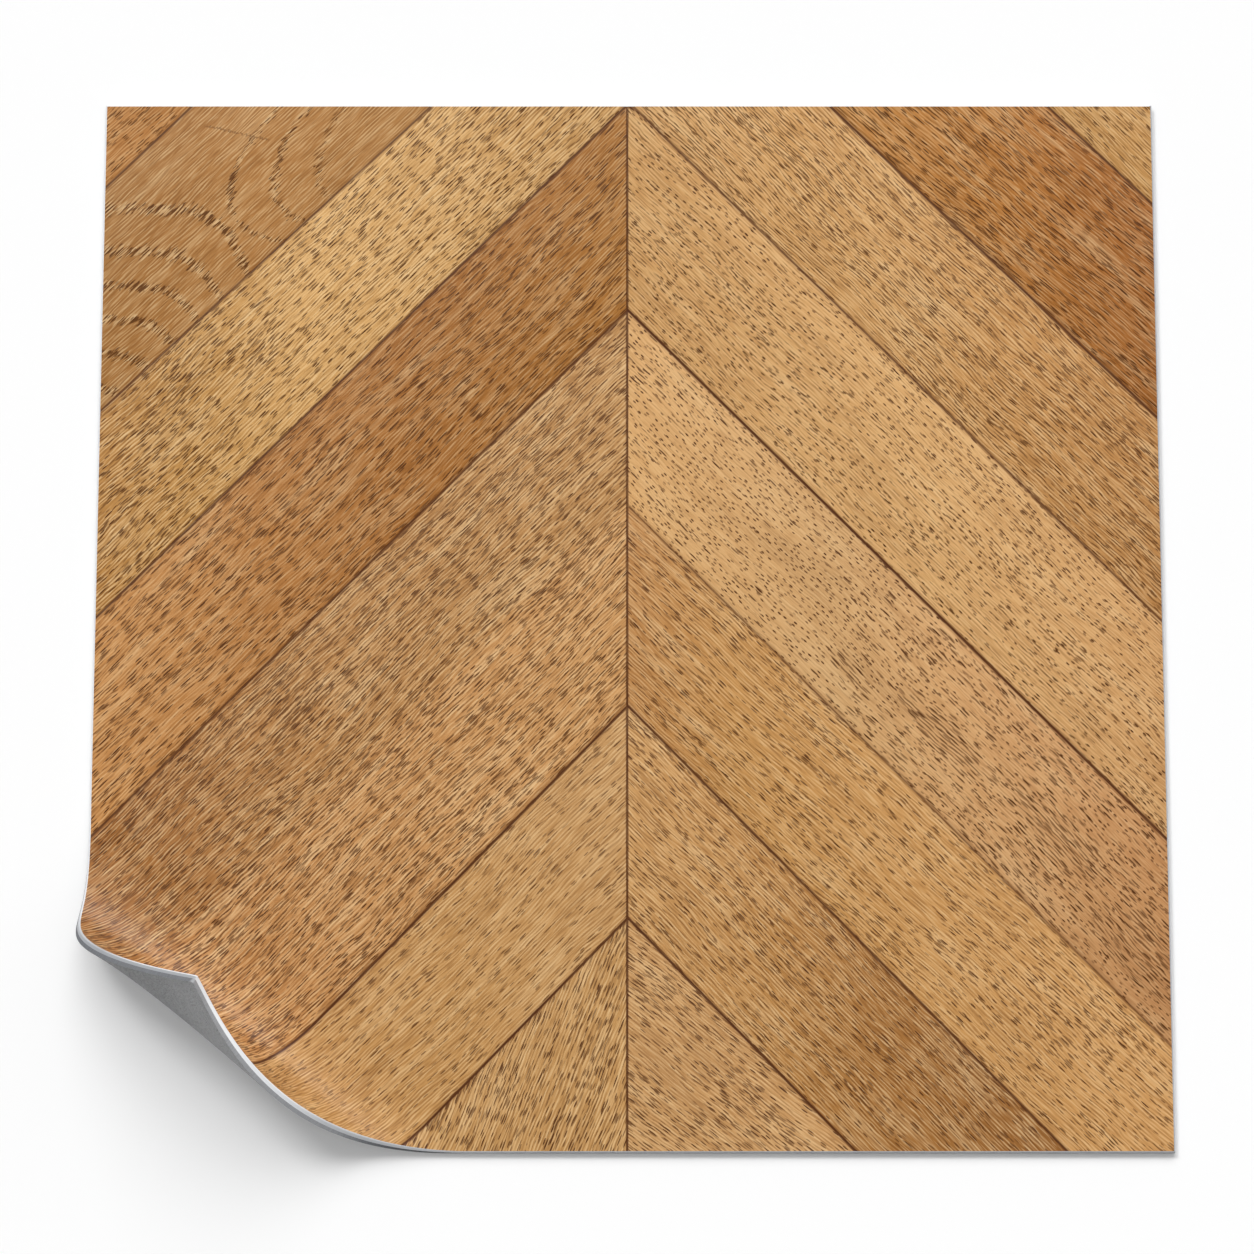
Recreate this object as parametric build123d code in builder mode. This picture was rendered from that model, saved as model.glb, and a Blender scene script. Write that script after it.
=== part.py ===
"""Peel and stick floor tile: a square vinyl sheet on a grey self-adhesive backing, with its front left corner curled up.

Millimetres. The tile lies flat on the floor plane Z = 0, printed face up, centred on the origin. The front edge faces -Y.
"""

from build123d import *
import os

os.makedirs("parts", exist_ok=True)

# Sheet
side = 305.0
half_side = side / 2
backing_thickness = 1.2
vinyl_thickness = 1.3
# The cut rim of the printed face is eased, and shows the white core
eased_rim = 0.35

# Curl: the sheet leaves the floor at these distances from the corner, along the left edge and along the front edge
left_lift_off = 100.0
front_lift_off = 106.0
# How far each edge still runs on in the floor plane's direction
left_run_on = 41.0
front_run_on = 45.5
# Each free edge then swings over these points to the tip, which is cut blunt
left_rise_point = (-153.0, -86.5, 16.5)
left_roll_point = (-167.0, -97.0, 10.5)
left_tip = (-117.9, -110.3, 53.3)
front_rise_point = (-105.5, -136.0, 44.5)
front_roll_point = (-114.5, -115.5, 41.5)
front_tip = (-117.1, -110.7, 53.7)

# Where the curl starts, on the boundary between the two layers
left_start_y = left_lift_off - half_side
front_start_x = front_lift_off - half_side
left_start = (-half_side, left_start_y, backing_thickness)
front_start = (front_start_x, -half_side, backing_thickness)

# Outline of the part of the sheet that lies flat
flat_outline = [
    (half_side, half_side),
    (-half_side, half_side),
    (-half_side, left_start_y),
    (front_start_x, -half_side),
    (half_side, -half_side),
]

# Free edges of the curl, each on the boundary between the two layers
with BuildLine() as left_free_edge:
    Bezier(
        left_start,
        (-half_side, left_start_y - left_run_on, backing_thickness),
        left_rise_point,
        left_roll_point,
        left_tip,
    )

with BuildLine() as front_free_edge:
    Bezier(
        front_start,
        (front_start_x - front_run_on, -half_side, backing_thickness),
        front_rise_point,
        front_roll_point,
        front_tip,
    )

# Straight rulings between the two free edges bend the sheet one way only, as a flat sheet bends
curl_face = Face.make_surface_from_curves(left_free_edge.edge(), front_free_edge.edge())

# Backing: the layer that lies on the floor
with BuildPart() as backing:
    with BuildSketch(Plane.XY):
        with BuildLine():
            Polyline(*flat_outline, close=True)
        make_face()
    extrude(amount=backing_thickness)
    thicken(curl_face, amount=-backing_thickness)
backing.part.label = "adhesive_backing"

# Printed vinyl on top of it
with BuildPart() as vinyl:
    with BuildSketch(Plane.XY.offset(backing_thickness)):
        with BuildLine():
            Polyline(*flat_outline, close=True)
        make_face()
    extrude(amount=vinyl_thickness)
    rim = vinyl.faces().sort_by(Axis.Z)[-1].edges()
    chamfer(rim.filter_by(Axis.X) + rim.filter_by(Axis.Y), length=eased_rim)
    thicken(curl_face, amount=vinyl_thickness)
vinyl.part.label = "printed_vinyl"

export_step(backing.part, "parts/adhesive_backing.step")
export_step(vinyl.part, "parts/printed_vinyl.step")
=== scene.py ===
import math

import bmesh
import bpy
import numpy as np
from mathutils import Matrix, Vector


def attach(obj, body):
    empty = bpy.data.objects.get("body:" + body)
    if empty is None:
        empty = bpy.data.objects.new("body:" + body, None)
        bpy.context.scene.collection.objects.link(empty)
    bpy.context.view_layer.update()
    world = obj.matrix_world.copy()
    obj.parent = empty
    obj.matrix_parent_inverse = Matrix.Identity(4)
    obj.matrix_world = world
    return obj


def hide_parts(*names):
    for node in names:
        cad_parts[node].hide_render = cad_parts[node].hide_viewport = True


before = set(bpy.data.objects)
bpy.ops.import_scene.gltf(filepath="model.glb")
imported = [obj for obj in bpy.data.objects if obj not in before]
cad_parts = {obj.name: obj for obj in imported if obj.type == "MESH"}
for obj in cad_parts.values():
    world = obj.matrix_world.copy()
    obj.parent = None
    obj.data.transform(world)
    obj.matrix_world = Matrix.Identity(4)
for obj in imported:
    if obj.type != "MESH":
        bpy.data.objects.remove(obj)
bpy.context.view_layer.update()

# ---------------------------------------------------------------- the sheet's measures, in metres
SIDE = 0.305
HALF = SIDE / 2
BACKING = 0.0012
VINYL = 0.0013
EASED_RIM = 0.00035
RIM_SEGMENTS = 3
BLUNT_CORNER = 0.0007
GROOVE_WIDTH = 0.0008
GROOVE_DEPTH = 0.00008
MM = 0.001
NEARLY = 1e-6
CUT_TOLERANCE = 1e-7

# How finely the curl is cut along and across its straight lines, and the least angle of a sharp edge
RULING_CUTS = 81
CROSS_CUTS_EACH_WAY = 9
CROSS_CUT_SPACING = 0.0075
SHARP_EDGE = math.radians(14)

# Where the two free edges of the curled corner run, on the boundary between backing and vinyl
LEFT_LIFT_OFF = 0.100
FRONT_LIFT_OFF = 0.106
LEFT_EDGE = [(-0.1525, -0.0525, 0.0012), (-0.1525, -0.0935, 0.0012), (-0.153, -0.0865, 0.0165),
             (-0.167, -0.097, 0.0105), (-0.1179, -0.1103, 0.0533)]
FRONT_EDGE = [(-0.0465, -0.1525, 0.0012), (-0.092, -0.1525, 0.0012), (-0.1055, -0.136, 0.0445),
              (-0.1145, -0.1155, 0.0415), (-0.1171, -0.1107, 0.0537)]

# The printed joints of each half, from the back to the front: (where it meets the centre line in mm, fall per mm
# sideways, darkness)
LEFT_JOINTS = [(279.6, 1.0, 0.8), (208.1, 0.97, 0.75), (153.1, 1.008, 0.85), (91.0, 1.015, 0.8), (-25.5, 1.032, 0.95),
               (-86.3, 1.031, 0.95)]
RIGHT_JOINTS = [(273.1, 0.99, 0.85), (211.1, 1.003, 0.85), (153.4, 1.016, 0.75), (90.4, 1.016, 1.0),
                (32.4, 1.021, 0.6), (-26.0, 1.031, 0.85), (-86.8, 1.033, 0.95)]
BEYOND_THE_BACK = (400.0, 1.0, 0.0)
BEYOND_THE_FRONT = (-400.0, 1.0, 0.0)
CENTRE_JOINT = -0.45
CENTRE_DARKNESS = 0.9


# ---------------------------------------------------------------- the curl
def on_curve(points, u):
    """Points on a Bezier curve, and its direction there, for an array of parameters."""
    points = np.array(points)
    n = len(points) - 1
    steps = np.diff(points, axis=0) * n
    place = sum(math.comb(n, i) * ((1 - u) ** (n - i) * u**i)[:, None] * points[i] for i in range(n + 1))
    slope = sum(math.comb(n - 1, i) * ((1 - u) ** (n - 1 - i) * u**i)[:, None] * steps[i] for i in range(n))
    return place, slope


TABLE = np.linspace(0, 1, 801)


def run_left(edge, lift_off):
    """How much of the flat edge is left, from the corner, at each parameter of the table."""
    place, _ = on_curve(edge, TABLE)
    run = np.concatenate(([0], np.cumsum(np.linalg.norm(np.diff(place, axis=0), axis=1))))
    return BLUNT_CORNER + (lift_off - BLUNT_CORNER) * (1 - run / run[-1])


LEFT_RUN = run_left(LEFT_EDGE, LEFT_LIFT_OFF)
FRONT_RUN = run_left(FRONT_EDGE, FRONT_LIFT_OFF)


def bend(flat):
    """Curls the corner: takes places on the flat sheet, with their height, to where they are on the curled one."""
    out = flat.copy()
    from_left, from_front = flat[:, 0] + HALF, flat[:, 1] + HALF
    curled = from_left / FRONT_LIFT_OFF + from_front / LEFT_LIFT_OFF < 1 - NEARLY
    x, y = from_left[curled], from_front[curled]
    # the straight line of the curl through each place: the first of the table's lines that the place is past
    past = x[:, None] / FRONT_RUN[None, :] + y[:, None] / LEFT_RUN[None, :] - 1
    k = np.clip((past < 0).sum(1), 1, len(TABLE) - 1)
    rows = np.arange(len(k))
    before, after = past[rows, k - 1], past[rows, k]
    u = TABLE[k - 1] + (TABLE[k] - TABLE[k - 1]) * np.clip(-before / (after - before), 0, 1)
    v = (x / np.interp(u, TABLE, FRONT_RUN))[:, None]
    left, left_way = on_curve(LEFT_EDGE, u)
    front, front_way = on_curve(FRONT_EDGE, u)
    normal = np.cross((1 - v) * left_way + v * front_way, front - left)
    normal /= np.linalg.norm(normal, axis=1)[:, None]
    out[curled] = (1 - v) * left + v * front + (flat[curled, 2] - BACKING)[:, None] * normal
    return out


def cut(bm, faces, point, normal):
    """Cuts the given faces along a plane."""
    faces = [f for f in faces if f.is_valid]
    geometry = faces + list({e for f in faces for e in f.edges}) + list({v for f in faces for v in f.verts})
    bmesh.ops.bisect_plane(bm, geom=geometry, dist=CUT_TOLERANCE, plane_co=point, plane_no=normal)


def in_curl(face):
    middle = face.calc_center_median()
    return (middle.x + HALF) / FRONT_LIFT_OFF + (middle.y + HALF) / LEFT_LIFT_OFF < 1


def sheet_block(low, high, rim):
    """One layer of the tile, still flat: a square with a blunt front left corner, cut across where it will bend."""
    bm = bmesh.new()
    bmesh.ops.create_grid(bm, x_segments=1, y_segments=1, size=HALF)
    bmesh.ops.translate(bm, verts=bm.verts, vec=(0, 0, high))
    corner = Vector((-HALF + BLUNT_CORNER, -HALF, high))
    everything = bm.faces[:] + bm.edges[:] + bm.verts[:]
    bmesh.ops.bisect_plane(bm, geom=everything, dist=CUT_TOLERANCE, plane_co=corner,
                           plane_no=Vector((1, 1, 0)).normalized(), clear_inner=True)
    walls = bmesh.ops.extrude_face_region(bm, geom=bm.faces[:], use_keep_orig=True)
    lowered = [v for v in walls["geom"] if isinstance(v, bmesh.types.BMVert)]
    bmesh.ops.translate(bm, verts=lowered, vec=(0, 0, low - high))
    bmesh.ops.recalc_face_normals(bm, faces=bm.faces)
    if rim:
        edges = [e for e in bm.edges if all(v.co.z > high - NEARLY for v in e.verts)]
        bmesh.ops.bevel(bm, geom=edges, offset=rim, offset_type="OFFSET", affect="EDGES", segments=RIM_SEGMENTS,
                        profile=0.5, material=-1)
    # where it bends, it is cut along the straight lines of the curl, and then across them
    for step in range(RULING_CUTS):
        u = np.interp(1 - step / RULING_CUTS, LEFT_RUN[::-1] / LEFT_RUN[0], TABLE[::-1])
        left = Vector((-HALF, -HALF + np.interp(u, TABLE, LEFT_RUN), 0))
        front = Vector((-HALF + np.interp(u, TABLE, FRONT_RUN), -HALF, 0))
        cut(bm, bm.faces[:], left, (front - left).cross(Vector((0, 0, 1))))
    way = Vector((1, -1, 0)).normalized()
    for step in range(-CROSS_CUTS_EACH_WAY, CROSS_CUTS_EACH_WAY + 1):
        middle = Vector((-HALF, -HALF, 0)) + way * step * CROSS_CUT_SPACING
        cut(bm, [f for f in bm.faces if in_curl(f)], middle, way)
    return bm


def joints_of(side):
    """The printed joints of the left half, -1, or the right one, 1."""
    return LEFT_JOINTS if side < 0 else RIGHT_JOINTS


def joint_plane(side, joint, aside=0.0):
    """A point and the direction of the upright plane through a printed joint."""
    height, fall, _ = joint
    normal = Vector((fall * side, 1, 0)).normalized()
    return Vector((0, height * MM, 0)) + normal * aside, normal


def half(x):
    """Which half of the print a place is on."""
    return 1 if x > CENTRE_JOINT * MM else -1


def board_number(x, y):
    """How many printed joints are behind a place, which numbers the boards of its half from the back."""
    return sum(y < height * MM - fall * abs(x) for height, fall, _ in joints_of(half(x)))


def to_object(bm, name, finishes):
    """Bends the finished flat block and makes it an object."""
    kept = bm.verts.layers.float_vector.new("flat_place")
    for v in bm.verts:
        v[kept] = v.co / MM
    for f in bm.faces:
        f.smooth = True
    for e in bm.edges:
        e.smooth = e.is_manifold and e.calc_face_angle(0) < SHARP_EDGE
    flat = np.array([v.co for v in bm.verts])
    for v, place in zip(bm.verts, bend(flat)):
        v.co = place
    mesh = bpy.data.meshes.new(name)
    bm.to_mesh(mesh)
    bm.free()
    for finish in finishes:
        mesh.materials.append(finish)
    made = bpy.data.objects.new(name, mesh)
    bpy.context.scene.collection.objects.link(made)
    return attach(made, "root")


# ---------------------------------------------------------------- shaders
class Value:
    """A shader socket, so that sums on it are written as Python expressions."""

    def __init__(self, finish, socket):
        self.finish, self.socket = finish, socket

    def math(self, operation, *others):
        return self.finish.node("Math", {"operation": operation}, dict(enumerate((self,) + others)))

    def __add__(self, other):
        return self.math("ADD", other)

    __radd__ = __add__

    def __sub__(self, other):
        return self.math("SUBTRACT", other)

    def __rsub__(self, other):
        return self.finish.node("Math", {"operation": "SUBTRACT"}, {0: other, 1: self})

    def __mul__(self, other):
        return self.math("MULTIPLY", other)

    __rmul__ = __mul__

    def __truediv__(self, other):
        return self.math("DIVIDE", other)

    def smaller(self, other):
        return self.math("MINIMUM", other)

    def larger(self, other):
        return self.math("MAXIMUM", other)

    def size(self):
        return self.math("ABSOLUTE")

    def from_whole(self):
        """The distance to the nearest whole number."""
        return (self - (self + 0.5).math("FLOOR")).size()

    def clamp(self):
        return self.finish.node("Clamp", {}, {0: self})

    def step(self, low, high):
        """0 below low and 1 above high, smooth between them; low may be the larger one."""
        sockets = {0: self, 1: low, 2: high, 3: 0.0, 4: 1.0}
        return self.finish.node("MapRange", {"interpolation_type": "SMOOTHSTEP"}, sockets)

    def outputs(self, *keys):
        """Outputs of the node that this value comes from."""
        return [Value(self.finish, self.socket.node.outputs[key]) for key in keys]


class Finish:
    """One material, and the one way in which its nodes are made."""

    def __init__(self, name):
        self.material = bpy.data.materials.new(name)
        self.material.use_nodes = True
        self.tree = self.material.node_tree
        self.tree.nodes.clear()

    def put(self, value, socket):
        if isinstance(value, Value):
            self.tree.links.new(value.socket, socket)
        else:
            socket.default_value = value

    def node(self, kind, settings=None, sockets=None, out=0):
        made = self.tree.nodes.new("ShaderNode" + kind)
        for key, value in (settings or {}).items():
            if key == "stops":
                for _ in value[2:]:
                    made.color_ramp.elements.new(0.5)
                for stop, (place, colour) in zip(made.color_ramp.elements, value):
                    stop.position, stop.color = place, colour
            else:
                setattr(made, key, value)
        for key, value in (sockets or {}).items():
            self.put(value, made.inputs[key])
        return Value(self, made.outputs[out])

    def place(self):
        """Where a point of the sheet is when it lies flat, in millimetres: across, toward the back, and up."""
        flat = self.node("Attribute", {"attribute_name": "flat_place"}, out="Vector")
        return self.node("SeparateXYZ", {}, {0: flat}).outputs("X", "Y", "Z")

    def at(self, x, y):
        return self.node("CombineXYZ", {}, {0: x, 1: y, 2: 0.0})

    def noise(self, x, y, seed, detail=2.0):
        """Soft random values from about -1 to 1, one unit apart."""
        sockets = {"Vector": self.at(x + seed * 17.3, y + seed * 9.1), "Scale": 1.0, "Detail": detail, "Roughness": 0.5}
        return (self.node("TexNoise", {"noise_dimensions": "2D"}, sockets) - 0.5) * 2.6

    def spots(self, x, y, seed):
        """One random spot in each unit cell: the distance to it, and two random values that are its own."""
        sockets = {"Vector": self.at(x + seed * 5.7, y + seed * 3.3), "Scale": 1.0, "Randomness": 1.0}
        found = self.node("TexVoronoi", {"voronoi_dimensions": "2D", "feature": "F1"}, sockets)
        return [found] + self.node("SeparateColor", {}, {0: found.outputs("Color")[0]}).outputs(0, 1)

    def mix(self, factor, first, second):
        """One colour turned into another."""
        made = self.tree.nodes.new("ShaderNodeMix")
        made.data_type = "RGBA"
        for key, value in (("Factor_Float", factor), ("A_Color", first), ("B_Color", second)):
            self.put(value, next(s for s in made.inputs if s.identifier == key))
        return Value(self, next(s for s in made.outputs if s.identifier == "Result_Color"))

    def run(self, place, tones):
        """The colour at a place between the tones' own places, all in millimetres from the centre line."""
        stops = [(stop / (HALF / MM), tone(*colour)) for stop, colour in tones]
        return self.node("ValToRGB", {"stops": stops}, {0: place / (HALF / MM)})

    def finish(self, colour, roughness, height=None, relief=0.0, **uniform):
        """Ends the material. The relief's depth is in metres."""
        sockets = {"Base Color": colour, "Roughness": roughness}
        if height is not None:
            sockets["Normal"] = self.node("Bump", {}, {"Strength": 1.0, "Distance": relief, "Height": height})
        shader = self.node("BsdfPrincipled", {}, {**sockets, **uniform})
        out = self.tree.nodes.new("ShaderNodeOutputMaterial")
        self.tree.links.new(shader.socket, out.inputs[0])
        return self.material


def tone(red, green, blue):
    """A colour as it looks on a screen, out of 255, in the shader's own linear values."""
    shares = [c / 255 for c in (red, green, blue)]
    return tuple(c / 12.92 if c <= 0.04045 else ((c + 0.055) / 1.055) ** 2.4 for c in shares) + (1.0,)


# ---------------------------------------------------------------- the printed boards
JOINT_BROWN = tone(82, 42, 14)
PORE_BROWN = tone(84, 45, 12)
STAIN_BROWN = tone(112, 66, 26)
FIBRE_LIGHT = tone(250, 218, 166)
FIBRE_DARK = tone(102, 56, 12)

# The grain's widths across its lines, in millimetres
LINE_SPACING = 0.88
STROKE_WIDTH = 0.44
DASH_WIDTH = 0.7
PRINT_RELIEF = 0.00003
HALF_ROOT = math.sqrt(0.5)

# A thin clear layer over the print, and no gloss of the print itself
WEAR_LAYER = {"Specular IOR Level": 0.0, "Coat Weight": 1.0, "Coat IOR": 1.2, "Coat Roughness": 0.35}

# The pores of a board, in two sizes, each as (share kept, length, width, darkness, how much they gather in bands)
OAK_PORES = ((0.36, 6.0, 0.82, 1.0, 0.9), (0.36, 3.8, 0.7, 0.9, 0.9))
LONG_PORES = ((0.62, 9.5, 0.84, 1.0, 0.9), (0.52, 5.2, 0.74, 1.0, 0.8))
SHORT_PORES = ((0.46, 7.4, 0.82, 1.0, 0.9), (0.54, 4.6, 0.72, 1.0, 0.7))
FEW_PORES = ((0.32, 6.5, 0.82, 0.85, 0.6), (0.26, 4.0, 0.7, 0.8, 0.6))
DOTS = ((0.22, 5.0, 0.82, 1.0, 0.6), (0.44, 2.9, 0.9, 1.0, 0.5))
SPECKS = ((0.06, 7.0, 1.0, 1.0, 2.2), (0.66, 2.6, 0.85, 1.0, -0.6))
PORE_SEEDS = (31.7, 47.3)


def oak_board(name, side, number, seed, tones, turn=0.0, sweep=None, wobble=(1.5, 0.22), jitter=0.05, lines=0.6,
              dashes=(0.1, 4.0), fibre=(0.3, 0.42), streaks=0.5, pores=OAK_PORES, stains=(0.0, 0.0), clusters=(),
              dense=None, lower=None, figure=None):
    """The print of one oak board: fine parallel lines with dashes in them, and larger pores. Lengths are in mm.

    tones     (distance from the centre line, colour), from the centre to the side
    turn      by how many degrees the grain turns off the board's length
    sweep     how far along the board the grain starts to bend away, and how strongly
    wobble    how far the grain wanders over long and over short distances; jitter is the finest wander
    lines     how strong the fine lines are
    dashes    how many dark dashes are in the lines, and their length
    fibre     how light and how dark the lines and strokes turn the tone
    streaks   how strong the long light and dark streaks are
    pores     two sizes of pores, as above
    stains    the widths of the brown stains along the upper and the lower joint
    clusters  where pores crowd: (across, toward the back, length, breadth, strength)
    dense     the distances from the centre line between which more pores and dashes come in
    lower     from what depth in the board another set of tones takes over, and that set
    figure    draws arched rings and a crack, in place of most dashes
    """
    f = Finish(name)
    x, y, _ = f.place()
    across = x * side
    joints = joints_of(side)
    upper = joints[number - 1] if number else BEYOND_THE_BACK
    lowest = joints[number] if number < len(joints) else BEYOND_THE_FRONT

    # the place on the board: straight along it, away from the centre, and below its upper joint
    straight = (across - y) * HALF_ROOT
    below = (upper[0] - y - across) * HALF_ROOT
    along, down = straight, below
    if turn:
        c, s = math.cos(math.radians(turn)), math.sin(math.radians(turn))
        along, down = straight * c + below * s, below * c - straight * s
    if sweep:
        past = (along - sweep[0]).larger(0.0)
        down = down + past * past * sweep[1]
    # the grain wanders; each noise here is divided by its own length and width, and has its own seed
    grain = down + f.noise(along / 60, down / 30, seed, detail=1.0) * wobble[0]
    grain = grain + f.noise(along / 18, down / 9, seed + 3.1, detail=0.0) * wobble[1]
    grain = grain + f.noise(along / 3.2, down / 2.4, seed + 5.3, detail=0.0) * jitter

    # growth bands, dense with pores, and clusters of them
    streak = f.noise(along / 42, grain / 2.6, seed + 11.3)
    blotch = f.noise(along / 30, down / 15, seed + 17.9, detail=1.0)
    band = f.noise(along / 45, grain / 2.2, seed + 21.1, detail=1.0) + blotch * 0.4
    crowding = 0.0
    for centre_x, centre_y, reach, breadth, strength in clusters:
        far_along = (straight - (centre_x * side - centre_y) * HALF_ROOT) / reach
        far_down = (below - (upper[0] - centre_y - centre_x * side) * HALF_ROOT) / breadth
        uneven = f.noise(along / 7, down / 4, seed + 25.0) * 0.6
        crowding = (far_along * far_along + far_down * far_down + uneven).step(1.3, 0.1) * strength + crowding
    if dense:
        crowding = across.step(*dense) * 0.3 + crowding

    # fibres: fine parallel lines, broken and uneven, with strokes over them and dark dashes in the valleys
    slack = f.noise(along / 9, grain / 2, seed + 7.7, detail=1.0)
    line = ((grain / LINE_SPACING + slack * 0.42) * math.tau).math("SINE")
    fine = f.noise(along / 7, grain / STROKE_WIDTH, seed + 9.1, detail=1.0)
    strokes = fine.step(-0.42, 0.42) * 2.0 - 1.0
    dash_count, dash_length = dashes
    beat = f.noise(along / dash_length, grain / DASH_WIDTH, seed + 10.9, detail=1.0)
    relief = line * (lines + 0.4 * slack) + strokes * 0.55 + beat * 0.3
    valley = (0 - line).step(-0.3, 0.7)
    dark = valley * (beat + band * 0.4 + crowding * 0.8 + dash_count).step(0.34, 0.68) * 0.64
    if figure:
        ragged = f.noise(along / 2.6, grain / 0.5, seed + 13.7, detail=0.0)
        ring, crack = figure(f, x, y, ragged)
        dark = (ring * strokes.step(-0.05, -0.8) * 0.85).larger(dark * 0.3).larger(crack)
    for (keep, length, width, darkness, gather), pore_seed in zip(pores, PORE_SEEDS):
        spot, own, other = f.spots(along / length, grain / width, seed + pore_seed)
        crowd = ring * 0.6 - 0.1 + keep * 0.3 if figure else keep + (band * 0.5 + crowding) * gather
        shape = (spot + fine * 0.04).step(0.29, 0.18)
        dark = (shape * (crowd - own).step(-0.03, 0.07) * (0.5 + 0.5 * other) * darkness).larger(dark)

    # the colour, from the base tone up
    colour = f.run(across, tones)
    if lower:
        depth, lower_tones = lower
        colour = f.mix((below + blotch * 2.0).step(depth - 5.0, depth + 5.0), colour, f.run(across, lower_tones))
    tinge = streak * streaks + blotch * 0.25
    colour = f.mix((tinge * 0.5).clamp(), colour, FIBRE_LIGHT)
    colour = f.mix((0 - tinge * 0.5).clamp(), colour, FIBRE_DARK)
    if figure:
        colour = f.mix(ring * strokes.step(0.2, 0.9) * 0.3, colour, FIBRE_LIGHT)
    light, deep = fibre
    colour = f.mix((relief * light).clamp(), colour, FIBRE_LIGHT)
    colour = f.mix((0 - relief * deep).clamp(), colour, FIBRE_DARK)
    if clusters:
        colour = f.mix((crowding * 0.06).clamp(), colour, STAIN_BROWN)

    # the stains along the joints, the pores, and the joints' lines with the centre one's
    gap_above = (upper[0] - upper[1] * across - y) / math.hypot(1, upper[1])
    gap_below = (y - lowest[0] + lowest[1] * across) / math.hypot(1, lowest[1])
    worn = f.noise(straight / 14, below / 60, seed + 5.0)
    for gap, width in zip((gap_above, gap_below), stains):
        if width:
            stain = (gap + fine * 0.7 + worn * width * 0.8).step(width, -0.8) * 0.55
            colour = f.mix(stain, colour, STAIN_BROWN)
    colour = f.mix(dark.smaller(1.0), colour, PORE_BROWN)
    halo = gap_above.smaller(gap_below).step(1.2, 0.2) * (0.3 + 0.3 * worn).clamp()
    colour = f.mix(halo, colour, STAIN_BROWN)
    edge = 0.0
    gap_centre = (x - CENTRE_JOINT) * side
    for gap, darkness in ((gap_above, upper[2]), (gap_below, lowest[2]), (gap_centre, CENTRE_DARKNESS)):
        outer, inner = 0.1 + 0.48 * darkness, 0.02 + 0.17 * darkness
        edge = ((gap + worn * 0.12).step(outer, inner) * (darkness + 0.25 * worn)).larger(edge)
    colour = f.mix(edge.clamp(), colour, JOINT_BROWN)
    height = 0.45 * relief - dark * 1.7 - edge * 0.5
    return f.finish(colour, 0.35 + fine * 0.03 + dark * 0.2, height, PRINT_RELIEF, **WEAR_LAYER)


# The ringed board, in millimetres: where its arches and its flames start, and how far apart they are
ARCHES_START = -152.0
ARCH_SPACING_BELOW = 10.2
ARCH_SPACING_ABOVE = 13.2
ARCH_SPACING = 11.0
FLAMES_START = -116.0
FLAME_SPACING = 13.0


def cathedral(f, x, y, ragged):
    """The arched rings of a board cut near the middle of the log, from 0 between them to 1 in them, and a crack."""
    uneven = f.noise(x / 4.0, y / 4.0, 71.0) + ragged * 1.5
    # the lower rings are arches, which bow down to the right
    bow = (x - ARCHES_START - 22.7 + (124.0 - y) * 0.445).larger(0.0)
    level = 108.2 - y - (x - ARCHES_START) * 0.023 - bow * bow * 0.0232 + uneven * 0.8
    count = 1.0 + level.larger(0.0) / ARCH_SPACING_BELOW + level.smaller(0.0) / ARCH_SPACING_ABOVE
    lower_rings = (count.from_whole() * ARCH_SPACING).step(1.8, 0.7) * count.step(-0.5, -0.3)
    # the upper ones stand like flames, one beside the other
    tilted = y - (x - FLAMES_START) * 0.35
    above, under = (tilted - 125.0).larger(0.0), (122.0 - tilted).larger(0.0)
    flame = (x - FLAMES_START - above * above * 0.028 - under * under * 0.06 + uneven * 0.9) / FLAME_SPACING
    upper_rings = (flame.from_whole() * FLAME_SPACING).step(1.5, 0.4) * count.step(-0.2, -0.5)
    upper_rings = upper_rings * flame.step(-0.3, -0.1) * flame.step(3.2, 1.2)
    crack = (y - 146.5 + (x + 123.5) * 0.25 + uneven * 0.35).size().step(0.4, 0.1)
    crack = crack * x.step(-124.5, -122.0) * x.step(-104.0, -106.0)
    return lower_rings.larger(upper_rings), crack * 0.5


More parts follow.
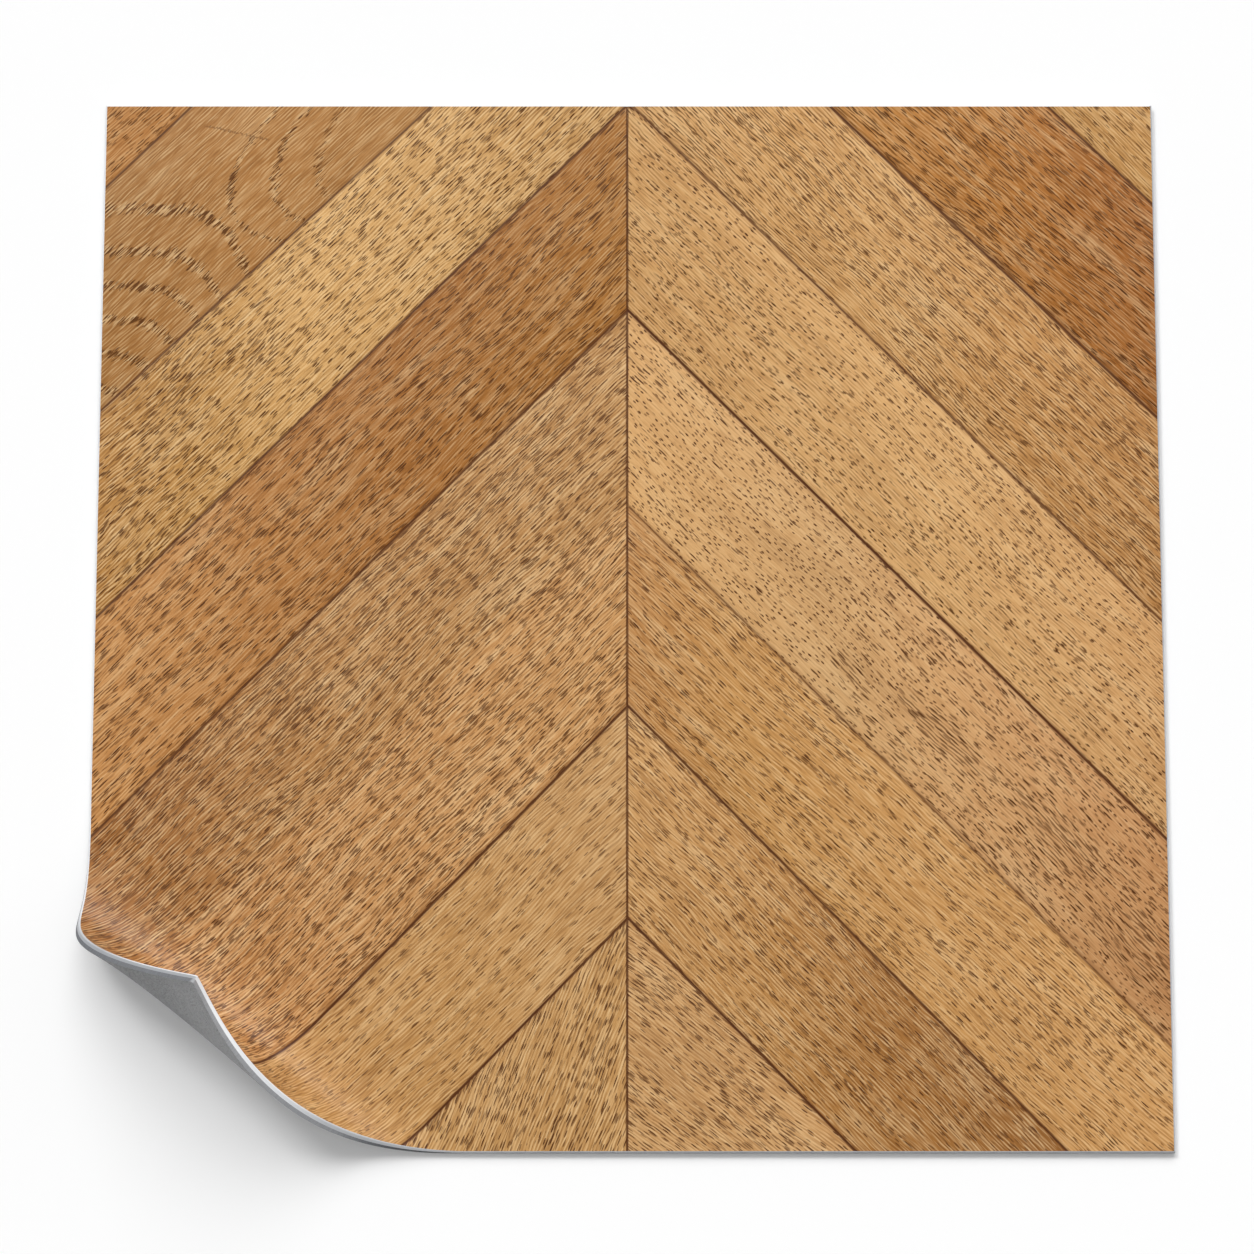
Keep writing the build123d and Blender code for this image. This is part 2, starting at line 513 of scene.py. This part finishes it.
# The boards of each half, from the back to the front: (a word for it, its tones, what else is special)
LEFT_BOARDS = [
    ("orange", [(0, (188, 130, 74)), (152, (188, 130, 74))], dict(fibre=(0.22, 0.28))),
    ("cathedral", [(60, (182, 132, 79)), (108, (180, 127, 72)), (152, (167, 117, 64))],
     dict(wobble=(1.2, 0.2), lines=0.5, fibre=(0.28, 0.32), streaks=0.45, figure=cathedral)),
    ("straw", [(0, (202, 154, 96)), (90, (221, 172, 108)), (125, (194, 144, 81)), (152, (188, 136, 75))],
     dict(sweep=(95.0, 0.004), dashes=(0.1, 3.8), fibre=(0.4, 0.42), pores=SHORT_PORES,
          clusters=((-132, 66, 16, 6, 0.35), (-108, 78, 12, 4, 0.3)))),
    ("red_brown", [(0, (170, 114, 53)), (60, (166, 108, 51)), (110, (183, 125, 68)), (152, (199, 141, 82))],
     dict(fibre=(0.22, 0.3), pores=LONG_PORES, stains=(1.5, 1.2))),
    ("wide", [(0, (191, 142, 87)), (90, (182, 130, 75)), (152, (161, 105, 51))],
     dict(lower=(40.0, [(0, (205, 152, 95)), (90, (195, 140, 84)), (152, (179, 121, 64))]),
          dashes=(0.38, 3.6), fibre=(0.32, 0.36), streaks=0.7, pores=SHORT_PORES, stains=(0.8, 2.2),
          clusters=((-94.6, -24.1, 10, 9, 0.35), (-100.6, -119.1, 9, 4, 0.45)))),
    ("tan_gold", [(0, (194, 147, 93)), (50, (192, 143, 85)), (152, (187, 137, 79))],
     dict(lines=0.65, dashes=(-0.1, 4.6), fibre=(0.26, 0.36), pores=FEW_PORES)),
    ("coarse", [(0, (193, 146, 89)), (152, (191, 143, 85))],
     dict(turn=23.0, dashes=(0.2, 3.4), fibre=(0.3, 0.38), pores=SHORT_PORES)),
]
RIGHT_BOARDS = [
    ("golden", [(0, (200, 149, 88)), (152, (200, 149, 88))], dict(dashes=(0.0, 5.0))),
    ("dark", [(60, (200, 141, 78)), (108, (184, 121, 57)), (152, (163, 100, 44))],
     dict(turn=-3.0, dashes=(0.2, 5.2), fibre=(0.22, 0.3), streaks=0.7, pores=LONG_PORES, stains=(0.0, 2.5))),
    ("golden_tan",
     [(0, (218, 169, 112)), (48, (212, 160, 99)), (68, (214, 163, 103)), (110, (203, 149, 89)), (152, (189, 135, 78))],
     dict(dashes=(0.4, 4.2), stains=(1.2, 0.0))),
    ("light", [(0, (206, 156, 97)), (88, (218, 169, 110)), (152, (209, 158, 102))],
     dict(lines=0.5, fibre=(0.24, 0.32), streaks=0.35, pores=DOTS, stains=(1.0, 0.6))),
    ("peach", [(0, (219, 169, 110)), (60, (208, 162, 108)), (90, (211, 161, 107)), (152, (193, 139, 89))],
     dict(jitter=0.08, lines=0.4, dashes=(-0.2, 4.0), fibre=(0.18, 0.26), streaks=0.3, pores=SPECKS,
          stains=(1.1, 0.0), dense=(50, 95),
          clusters=((63, -15.4, 9, 3.5, 1.0), (89.8, -34.2, 18, 5, 0.9), (121.9, -64.4, 18, 6, 0.8),
                    (143.8, -95.7, 18, 8, 0.9)))),
    ("golden_brown", [(0, (189, 134, 77)), (30, (197, 145, 83)), (152, (205, 153, 94))],
     dict(turn=-2.0, fibre=(0.26, 0.36))),
    ("brown", [(0, (203, 153, 95)), (40, (186, 134, 75)), (70, (165, 113, 57)), (152, (138, 89, 41))],
     dict(stains=(1.0, 0.8))),
    ("pink_tan", [(0, (196, 148, 94)), (152, (190, 141, 86))],
     dict(turn=-7.0, dashes=(0.15, 3.8), fibre=(0.26, 0.34), pores=SHORT_PORES)),
]


def printed_boards():
    boards = []
    for side, half_name, kinds in ((-1, "left", LEFT_BOARDS), (1, "right", RIGHT_BOARDS)):
        for number, (word, tones, special) in enumerate(kinds):
            name = f"board_{half_name}_{number + 1}_{word}"
            boards.append(oak_board(name, side, number, len(boards) + 1.0, tones, **special))
    return boards


# ---------------------------------------------------------------- the core and the backing
# How far from the centre a place is on the cut edge, and where along the left side the curl sets in, in millimetres
CUT_EDGE = (151.6, 152.2)
LEFT_CURL = (-60.0, -110.0)
GRIT = 0.45
PEBBLE = 0.62
CORE_RELIEF = 0.00002
PEBBLE_RELIEF = 0.0004
CUT_RELIEF = 0.00004


def cut_sides(x, y):
    """Whether a place is on the left, the right and the front cut edge, each from 0 to 1."""
    inner, outer = CUT_EDGE
    return x.step(-inner, -outer), x.step(inner, outer), y.step(-inner, -outer)


def core_vinyl():
    """The white core, on the cut edge and the eased rim. Painted shade makes it a little grey low on the curled left
    edge, along the right side, and in front, more so toward the flat part."""
    f = Finish("white_core_vinyl")
    x, y, height = f.place()
    cloud = f.noise(x / 9, y / 9, 2.0)
    grit = f.noise(x / 0.5, y / 0.5, 4.0)
    colour = f.mix((0.5 + 0.3 * cloud + 0.2 * grit).clamp(), tone(226, 228, 231), tone(240, 241, 243))
    left, right, front = cut_sides(x, y)
    curled = left * y.step(*LEFT_CURL)
    under_the_rim = height.step(2.25, 1.95)
    at_the_lowest = y.step(-132.0, -108.0)
    toward_the_flat = x.step(-112.0, -82.0) * 0.43 + x.step(-60.0, -20.0) * 0.14
    # painted shade: greys the core low on the curled left edge, along the right side, and in front toward the flat
    painted_shade = (curled * under_the_rim * 0.72).larger(curled * at_the_lowest * 0.55)
    painted_shade = painted_shade.larger(right * 0.64).larger(front * toward_the_flat)
    return f.finish(f.mix(painted_shade, colour, tone(108, 112, 118)), 0.5 + grit * 0.05, grit, CORE_RELIEF)


def pebbled_back():
    """The back of the adhesive sheet, finely pebbled all over, with painted light making it a little paler at the tip's
    right edge.
    """
    f = Finish("pebbled_grey_back")
    x, y, _ = f.place()
    pebble, own, _ = f.spots(x / PEBBLE, y / PEBBLE, 3.0)
    cloud = f.noise(x / 22, y / 22, 8.0, detail=3.0)
    grit = f.noise(x / GRIT, y / GRIT, 12.0)
    # painted light: the back is lighter toward the front edge at the tip
    painted_light = y.step(-126.0, -150.0) * x.step(-90.0, -115.0) * 0.45
    shade = 0.62 + 0.1 * cloud + 0.34 * grit + (own - 0.5) * 0.3 - pebble * 0.4 + painted_light
    colour = f.mix(shade.clamp(), tone(108, 109, 110), tone(176, 176, 177))
    return f.finish(colour, 0.62 + grit * 0.05, grit * 0.4 - pebble * 1.4, PEBBLE_RELIEF)


def cut_backing():
    """The cut edge of the backing: slate grey, with painted shade darkening it along the flat front and painted light
    making it lighter where the curl lifts it.
    """
    f = Finish("slate_cut_edge")
    x, y, _ = f.place()
    grit = f.noise(x / GRIT, y / GRIT, 12.0)
    shade = (0.5 + 0.3 * grit).clamp()
    left, _, front = cut_sides(x, y)
    colour = f.mix(shade, tone(62, 64, 68), tone(100, 103, 108))
    for where, dark, light in (
        # painted light: lighter on the curled left edge
        (left * y.step(*LEFT_CURL), (84, 86, 90), (118, 121, 126)),
        # painted light: much lighter in front where the curl lifts the edge
        (front * x.step(-66.0, -88.0), (130, 131, 134), (162, 164, 167)),
        # painted shade: near black along the flat front, standing in for the contact shadow under it
        (front * x.step(-72.0, -50.0), (24, 25, 27), (44, 46, 49)),
    ):
        colour = f.mix(where, colour, f.mix(shade, tone(*dark), tone(*light)))
    return f.finish(colour, 0.62 + grit * 0.05, grit, CUT_RELIEF)


# ---------------------------------------------------------------- the two layers
# How much of a face's direction is upward
STRAIGHT_UP = 0.999
MOSTLY_UP = 0.5


def top_faces(bm, high):
    return [f for f in bm.faces if f.normal.z > MOSTLY_UP and max(v.co.z for v in f.verts) > high - NEARLY]


def to_nearest_joint(place):
    """The distance from a place on the flat sheet to the nearest printed joint."""
    from_centre = place.x - CENTRE_JOINT * MM
    distances = [abs(from_centre)]
    for side in (-1, 1):
        if from_centre * side > -NEARLY:
            for joint in joints_of(side):
                point, normal = joint_plane(side, joint)
                distances.append(abs((place - point).dot(normal)))
    return min(distances)


def printed_vinyl():
    """The printed sheet: cut along its joints, each board with its own print, and grooved at the joints."""
    high = BACKING + VINYL
    bm = sheet_block(BACKING, high, EASED_RIM)
    rows = (-GROOVE_WIDTH / 2, 0, GROOVE_WIDTH / 2)
    for aside in rows:
        cut(bm, top_faces(bm, high), Vector((CENTRE_JOINT * MM + aside, 0, 0)), Vector((1, 0, 0)))
    for side in (-1, 1):
        for joint in joints_of(side):
            for aside in rows:
                own_half = [f for f in top_faces(bm, high) if half(f.calc_center_median().x) == side]
                cut(bm, own_half, *joint_plane(side, joint, aside))
    bm.normal_update()
    for f in bm.faces:
        if f.normal.z > STRAIGHT_UP:
            middle = f.calc_center_median()
            boards_before = len(LEFT_BOARDS) if half(middle.x) > 0 else 0
            f.material_index = 1 + boards_before + board_number(middle.x, middle.y)
    for v in bm.verts:
        if v.co.z >= high - EASED_RIM:
            depth = GROOVE_DEPTH * max(0, 1 - 2 * to_nearest_joint(v.co) / GROOVE_WIDTH)
            v.co.z = min(v.co.z, high - depth)
    made = to_object(bm, "printed_vinyl_sheet", [core_vinyl()] + printed_boards())
    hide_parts("printed_vinyl")


def adhesive_backing():
    """The adhesive sheet under it, with its pebbled back and its cut edge."""
    bm = sheet_block(0.0, BACKING, 0.0)
    bm.normal_update()
    for f in bm.faces:
        f.material_index = 0 if f.normal.z < -MOSTLY_UP else 1
    made = to_object(bm, "adhesive_backing_sheet", [pebbled_back(), cut_backing()])
    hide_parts("adhesive_backing")


printed_vinyl()
adhesive_backing()

# ---------------------------------------------------------------- floor, light and camera
FLOOR_SIZE = 6
FLOOR_WHITE = tone(253, 253, 253)
WORLD_STRENGTH = 0.36

bpy.ops.mesh.primitive_plane_add(size=FLOOR_SIZE, location=(0, 0, 0))
floor = bpy.context.object
floor.name = "white_floor"
floor.data.materials.append(Finish("white_paper").finish(FLOOR_WHITE, 0.9, **{"Specular IOR Level": 0.0}))

world = bpy.data.worlds.new("soft_studio")
world.use_nodes = True
world.node_tree.nodes["Background"].inputs["Color"].default_value = (1, 1, 1, 1)
world.node_tree.nodes["Background"].inputs["Strength"].default_value = WORLD_STRENGTH
bpy.context.scene.world = world


def soft_light(name, share, turn, height, spread, shadow=True, gloss_only=False):
    """A wide soft light that gives its share of the light on the floor, from a compass turn and a height in degrees."""
    lamp = bpy.data.lights.new(name, "SUN")
    turn, height = math.radians(turn), math.radians(height)
    lamp.energy = share * math.pi / math.sin(height)
    lamp.angle = math.radians(spread)
    lamp.use_shadow = shadow
    holder = bpy.data.objects.new(name, lamp)
    towards = Vector((math.cos(turn) * math.cos(height), math.sin(turn) * math.cos(height), math.sin(height)))
    holder.rotation_euler = towards.to_track_quat("Z", "Y").to_euler()
    holder.visible_diffuse = not gloss_only
    bpy.context.scene.collection.objects.link(holder)


soft_light("broad_light_from_the_back", share=0.31, turn=90, height=50, spread=40)
soft_light("key_from_back_left", share=0.24, turn=130, height=50, spread=15)
soft_light("low_fill_from_the_right", share=0.1, turn=350, height=16, spread=20, shadow=False)
soft_light("sheen_panel_at_back_right", share=0.5, turn=80, height=14, spread=50, gloss_only=True)

# The image's side, the lens's length, and the point across and down the image that the camera aims at, in pixels
IMAGE = 1254
FOCAL_PIXELS = 4818.17
AIM = (628.75, 618.84)
CAMERA_TILT = math.radians(11.71)
CAMERA_DISTANCE = 1.3773

camera = bpy.data.cameras.new("camera")
camera.sensor_width = 36
camera.lens = FOCAL_PIXELS / IMAGE * camera.sensor_width
camera.shift_x = (IMAGE / 2 - AIM[0]) / IMAGE
camera.shift_y = (AIM[1] - IMAGE / 2) / IMAGE
camera_object = bpy.data.objects.new("camera", camera)
camera_object.location = (0, -CAMERA_DISTANCE * math.sin(CAMERA_TILT), CAMERA_DISTANCE * math.cos(CAMERA_TILT))
camera_object.rotation_euler = (CAMERA_TILT, 0, 0)
bpy.context.scene.collection.objects.link(camera_object)
bpy.context.scene.camera = camera_object

bpy.context.scene.view_settings.view_transform = "Standard"
